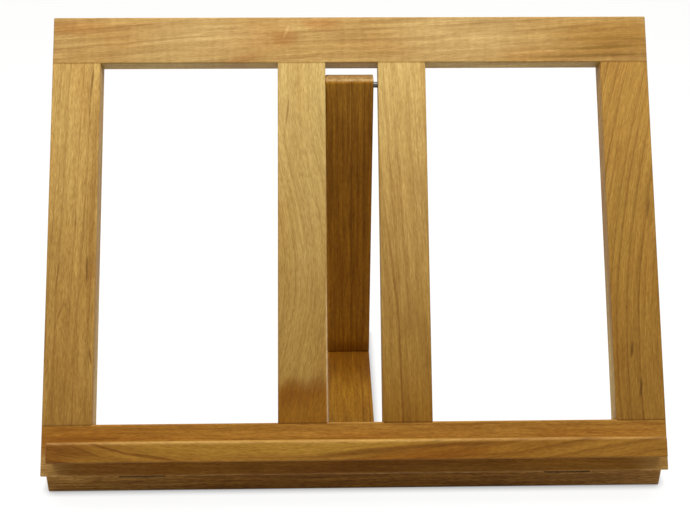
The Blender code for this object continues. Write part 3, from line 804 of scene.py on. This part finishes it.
# no light shows on the strut's left, so there the wood comes almost up to the stile
strutBar = dict(head=0.0059, topRound=0.0032, footRound=0.0005, leftGap=0.00002)
y, z = pivot[1:]
half, top, foot = stockThickness / 2, z + strutBar["head"], seat + gap
corners = [(y - half, foot), (y + half, foot), (y + half, top), (y - half, top)]
radii = (strutBar["footRound"],) * 2 + (strutBar["topRound"],) * 2
ends = (strutBar["leftGap"] - strutSlot / 2, strutLeft + stockWidth)
place = axes(Matrix(), (strutMiddle, y, (z + foot) / 2), up, -right)
wood = makeWood("oiled_hardwood_planed_strut", place, **strutWood)
makeShaped("strut", "strut", Matrix(), corners, radii, ends, wood,
           lambda bm: drill(bm, rodBore, rod["radius"] + gap, rodHalf))

boardWood = dict(
    seed=11.0, light="A1701D", dark="774608", warm="996212", pith=(-0.12, -0.03),
    slope=(0.006, 0.0), ringGap=0.0045, wander=0.0012, lines=0.9, hair=0.18, streak=0.16,
    marks=(mark((0.036, 0), (0.055, wholeBar), 0.75, "7E4A06"),))   # painted shade round the strut's foot
boardRadii = (0.0002, 0.0008, 0.0008, 0.0004, 0.0003, 0.0002)
front, shoulder, top = hinge[1] + lowerJoint + gap, y + half + gap, stockThickness
tail = shoulder + stockWidth
corners = [(front, 0), (tail, 0), (tail, top), (shoulder, top), (shoulder, seat), (front, seat)]
ends = (strutLeft, strutLeft + stockWidth)
place = axes(Matrix(), (strutMiddle, (front + tail) / 2, seat / 2), back, -right)
wood = makeWood("oiled_hardwood_planed_base_board", place, **boardWood)
makeShaped("base_board", "base", Matrix(), corners, boardRadii, ends, wood,
           lambda bm: dowelHoles(bm, boardSpots))
print("stage 4: ledge, strut and base board")

metal = dict(
    markScale=(70, 5200, 5200),   # drawing marks 14 mm long and 0.2 mm apart
    cloudScale=420.0,             # clouds of 2.4 mm
    cloudRange=(0.42, 0.66), relief=0.00002, reliefStrength=0.5)


def makeMetal(name, code, roughness, streak, tarnish=None):
    # metal with fine drawing marks along x and, where it is dull, darker clouds
    material, tree, shader = newMaterial(name)
    coordinates = tree.nodes.new("ShaderNodeTexCoord").outputs["Object"]
    marks = addNode(tree, "VectorMath.MULTIPLY", {0: coordinates, 1: metal["markScale"]})
    marks = addNode(tree, "TexNoise", {"Vector": marks, "Scale": 1.0, "Detail": 2.0})
    colour = linearColour(code)
    if tarnish:
        clouds = addNode(tree, "TexNoise", {
            "Vector": coordinates, "Scale": metal["cloudScale"], "Detail": 3.0})
        low, high = metal["cloudRange"]
        mask = addNode(tree, "MapRange", {"Value": clouds, "From Min": low, "From Max": high})
        colour = addNode(tree, "Mix", {
            "Factor_Float": mask, "A_Color": colour, "B_Color": linearColour(tarnish)},
            out=2, data_type="RGBA")
    rough = addNode(tree, "MapRange", {
        "Value": marks, "From Min": noiseLow, "From Max": noiseHigh,
        "To Min": roughness - streak, "To Max": roughness + streak})
    relief = addNode(tree, "Bump", {
        "Height": marks, "Distance": metal["relief"],
        "Strength": metal["reliefStrength"]})
    feed(shader, {"Base Color": colour, "Metallic": 1.0, "Roughness": rough, "Normal": relief})
    return material


# Bright drawn steel, polished: a clear streaky mirror. Zinc-plated steel: a softer blue-grey
# shine. Bronzed steel, stamped and blackened: brown with darker clouds.
polishedSteel = makeMetal("drawn_steel_polished", "565654", 0.20, 0.05)
zincSteel = makeMetal("zinc_plated_steel", "B9BCBE", 0.28, 0.06, "A2A6A8")
bronzedSteel = makeMetal("bronzed_steel_stamped", "573C19", 0.50, 0.08, "38270F")

# Beech, turned and fluted: pale pinkish with short brown flecks
beech = makeWood(
    "beech_dowel_fluted", frameTurn @ alongX, seed=12.0, light="DDC096", dark="B98F5E",
    warm="D6B384", ringGap=0.0016, wander=0.0004, fleck=0.5, endTone=0.85,
    patterns={**woodDefaults["patterns"], "pores": ("rings", 0.002, 0.0004, 1.0)})


def spotMesh(name, spots):
    # one point for each place, with its turn
    mesh = bpy.data.meshes.new(name)
    mesh.from_pydata([spot.translation for spot in spots], [], [])
    turns = mesh.attributes.new("turn", "FLOAT_VECTOR", "POINT")
    for item, spot in zip(turns.data, spots):
        item.vector = spot.to_euler()
    return mesh


def copyToSpots(tree, points, shape):
    turn = addNode(tree, "GeometryNodeInputNamedAttribute", {
        "Name": "turn"}, data_type="FLOAT_VECTOR")
    turn = addNode(tree, "FunctionNodeEulerToRotation", {0: turn})
    return addNode(tree, "GeometryNodeInstanceOnPoints", {
        "Points": points, "Instance": shape, "Rotation": turn})


# Fluted dowels, one tree for all of them
fluting = dict(sides=6 * dowel["Flutes"], rings=24, landEdge=0.1)   # lands lie between flutes
tree, given = newTree("fluted dowel", {
    "Points": "Geometry", "Radius": "Float", "Half Length": "Float", "Chamfer": "Float",
    "Flutes": "Int", "Flute Depth": "Float", "Material": "Material"})
depth = addNode(tree, "Math.MULTIPLY", {0: given["Half Length"], 1: 2.0})
stick = addNode(tree, "GeometryNodeMeshCylinder", {
    "Vertices": fluting["sides"], "Side Segments": fluting["rings"], "Radius": 1.0,
    "Depth": depth})
spot = addNode(tree, "GeometryNodeInputPosition", {})
x, y, z = addNode(tree, "SeparateXYZ", {0: spot}).node.outputs
angle = addNode(tree, "Math.ARCTAN2", {0: y, 1: x})
angle = addNode(tree, "Math.MULTIPLY", {0: angle, 1: given["Flutes"]})
wave = addNode(tree, "Math.COSINE", {0: angle})
wave = addNode(tree, "MapRange", {
    "Value": wave, "From Min": fluting["landEdge"], "From Max": 1.0})
wave = addNode(tree, "Math.MULTIPLY", {0: wave, 1: given["Flute Depth"]})
height = addNode(tree, "Math.ABSOLUTE", {0: z})
short = addNode(tree, "Math.SUBTRACT", {0: given["Half Length"], 1: given["Chamfer"]})
slant = addNode(tree, "Math.SUBTRACT", {0: height, 1: short})
slant = addNode(tree, "Math.MAXIMUM", {0: slant, 1: 0.0})
reach = addNode(tree, "Math.SUBTRACT", {0: given["Radius"], 1: slant})
reach = addNode(tree, "Math.SUBTRACT", {0: reach, 1: wave})
shrunk = addNode(tree, "CombineXYZ", {0: reach, 1: reach, 2: 1.0})
fluted = addNode(tree, "VectorMath.MULTIPLY", {0: spot, 1: shrunk})
stick = addNode(tree, "GeometryNodeSetPosition", {"Geometry": stick, "Position": fluted})
dowelTree = endTree(tree, copyToSpots(tree, given["Points"], stick), given["Material"])

dowelSets = {
    "frame_dowels": ("frame", allLow + allHigh, [
        f"{name}_{end}_dowel_{i}" for name in stileX for end in ("bottom", "top")
        for i in (1, 2)]),
    "board_dowels": ("base", boardSpots, [f"base_board_dowel_{i}" for i in (1, 2)]),
}
for name, (body, spots, nodes) in dowelSets.items():
    piece = runTree(name, dowelTree, {**dowel, "Material": beech}, spotMesh(name, spots))
    finishPiece(piece, body, "beech_dowel", *nodes)
print("stage 5: dowels")

# Countersunk wood screws with a cross recess, one tree for all of them
screw = dict(
    core=0.74, tip=2.6, ridge=0.26,   # times the radius
    armLength=1.15, armWidth=0.26,    # of the cross, times the head's radius
    tipRadius=0.0001, headSides=40, headRings=3, capRings=2, sides=24, turnSteps=20, ridgeSides=4)
tree, given = newTree("countersunk screw", {
    "Points": "Geometry", "Radius": "Float", "Head": "Float", "Length": "Float",
    "Pitch": "Float", "Recess": "Float", "Seed": "Int", "Material": "Material"})
core, tipLength, ridge, armLength, armWidth = (
    addNode(tree, "Math.MULTIPLY", {0: given[of], 1: screw[key]})
    for key, of in (("core", "Radius"), ("tip", "Radius"), ("ridge", "Radius"),
                    ("armLength", "Head"), ("armWidth", "Head")))
cone = addNode(tree, "Math.SUBTRACT", {0: given["Head"], 1: given["Radius"]})
shankLength = addNode(tree, "Math.SUBTRACT", {0: given["Length"], 1: cone})
shankLength = addNode(tree, "Math.SUBTRACT", {0: shankLength, 1: tipLength})
head = addNode(tree, "GeometryNodeMeshCone", {
    "Vertices": screw["headSides"], "Side Segments": screw["headRings"],
    "Fill Segments": screw["capRings"], "Radius Top": given["Head"],
    "Radius Bottom": core, "Depth": cone})
shank = addNode(tree, "GeometryNodeMeshCylinder", {
    "Vertices": screw["sides"], "Radius": core, "Depth": shankLength})
tip = addNode(tree, "GeometryNodeMeshCone", {
    "Vertices": screw["sides"], "Radius Top": core,
    "Radius Bottom": screw["tipRadius"], "Depth": tipLength})
turns = addNode(tree, "Math.DIVIDE", {0: shankLength, 1: given["Pitch"]})
helix = addNode(tree, "GeometryNodeCurveSpiral", {
    "Resolution": screw["turnSteps"], "Rotations": turns, "Start Radius": core,
    "End Radius": core, "Height": shankLength})
ridge = addNode(tree, "GeometryNodeCurvePrimitiveCircle", {
    "Resolution": screw["ridgeSides"], "Radius": ridge})
thread = addNode(tree, "GeometryNodeCurveToMesh", {
    "Curve": helix, "Profile Curve": ridge, "Fill Caps": True})

# each part goes down from the head's top, which is at zero
neck = addNode(tree, "Math.MULTIPLY", {0: cone, 1: -1.0})
middle = addNode(tree, "Math.MULTIPLY_ADD", {0: shankLength, 1: -0.5, 2: neck})
bottom = addNode(tree, "Math.MULTIPLY", {0: given["Length"], 1: -1.0})
foot = addNode(tree, "Math.ADD", {0: bottom, 1: tipLength})
parts = []
for shape, height in ((head, neck), (shank, middle), (tip, bottom), (thread, foot)):
    move = addNode(tree, "CombineXYZ", {2: height})
    parts.append(addNode(tree, "GeometryNodeTransform", {"Geometry": shape, "Translation": move}))
deep = addNode(tree, "Math.MULTIPLY", {0: given["Recess"], 1: 2.0})
for first, second in ((armLength, armWidth), (armWidth, armLength)):
    arm = addNode(tree, "GeometryNodeMeshCube", {
        "Size": addNode(tree, "CombineXYZ", {0: first, 1: second, 2: deep})})
    parts[0] = addNode(tree, "GeometryNodeMeshBoolean.DIFFERENCE", {
        "Mesh 1": parts[0], "Mesh 2": arm})
whole = addNode(tree, "GeometryNodeJoinGeometry", {})
for part in parts:
    tree.links.new(part, whole.node.inputs[0])
screws = copyToSpots(tree, given["Points"], whole)
spin = addNode(tree, "FunctionNodeRandomValue", {
    "Max_001": math.pi / 2, "Seed": given["Seed"]}, out=1, data_type="FLOAT")
spin = addNode(tree, "CombineXYZ", {2: spin})
screws = addNode(tree, "GeometryNodeRotateInstances", {"Instances": screws, "Rotation": spin})
screwTree = endTree(tree, screws, given["Material"])

hingeScrewX = [side * hinges["x"] + step for side in (-1, 1)
               for step in (-hinges["spacing"], hinges["spacing"])]
hingeScrewPlaces = dict(
    frame=[frameTurn @ Matrix.Translation((x, -setback, hinges["offset"])) @ toBack
           for x in hingeScrewX],
    base=[baseTurn @ Matrix.Translation((x, hinges["offset"], stockThickness))
          for x in hingeScrewX])
hands = ("left", "right")
screwSets = {f"{body}_hinge_screws": (body, hingeScrew, spots, [
    f"{hand}_hinge_{body}_screw_{i}" for hand in hands for i in (1, 2)])
    for body, spots in hingeScrewPlaces.items()}
screwSets["ledge_screws"] = ("frame", ledgeScrew, ledgeScrewSpots, [
    f"ledge_screw_{where}" for where in ("left", "middle", "right")])
for name, (body, sizes, spots, nodes) in screwSets.items():
    piece = runTree(name, screwTree, {**sizes, "Material": zincSteel}, spotMesh(name, spots))
    finishPiece(piece, body, "polished_steel", *nodes)
print("stage 6: screws")

# The rod, the hinge leaves and their pins keep their CAD shapes
cadFinish = {"pivot_rod": polishedSteel}
for hand in hands:
    for part in ("pin", "frame_leaf", "base_leaf"):
        cadFinish[f"{hand}_hinge_{part}"] = bronzedSteel
for name, material in cadFinish.items():
    node = frame["nodes"][name]
    node.data.materials.clear()
    node.data.materials.append(material)
print("stage 7: metalwork")
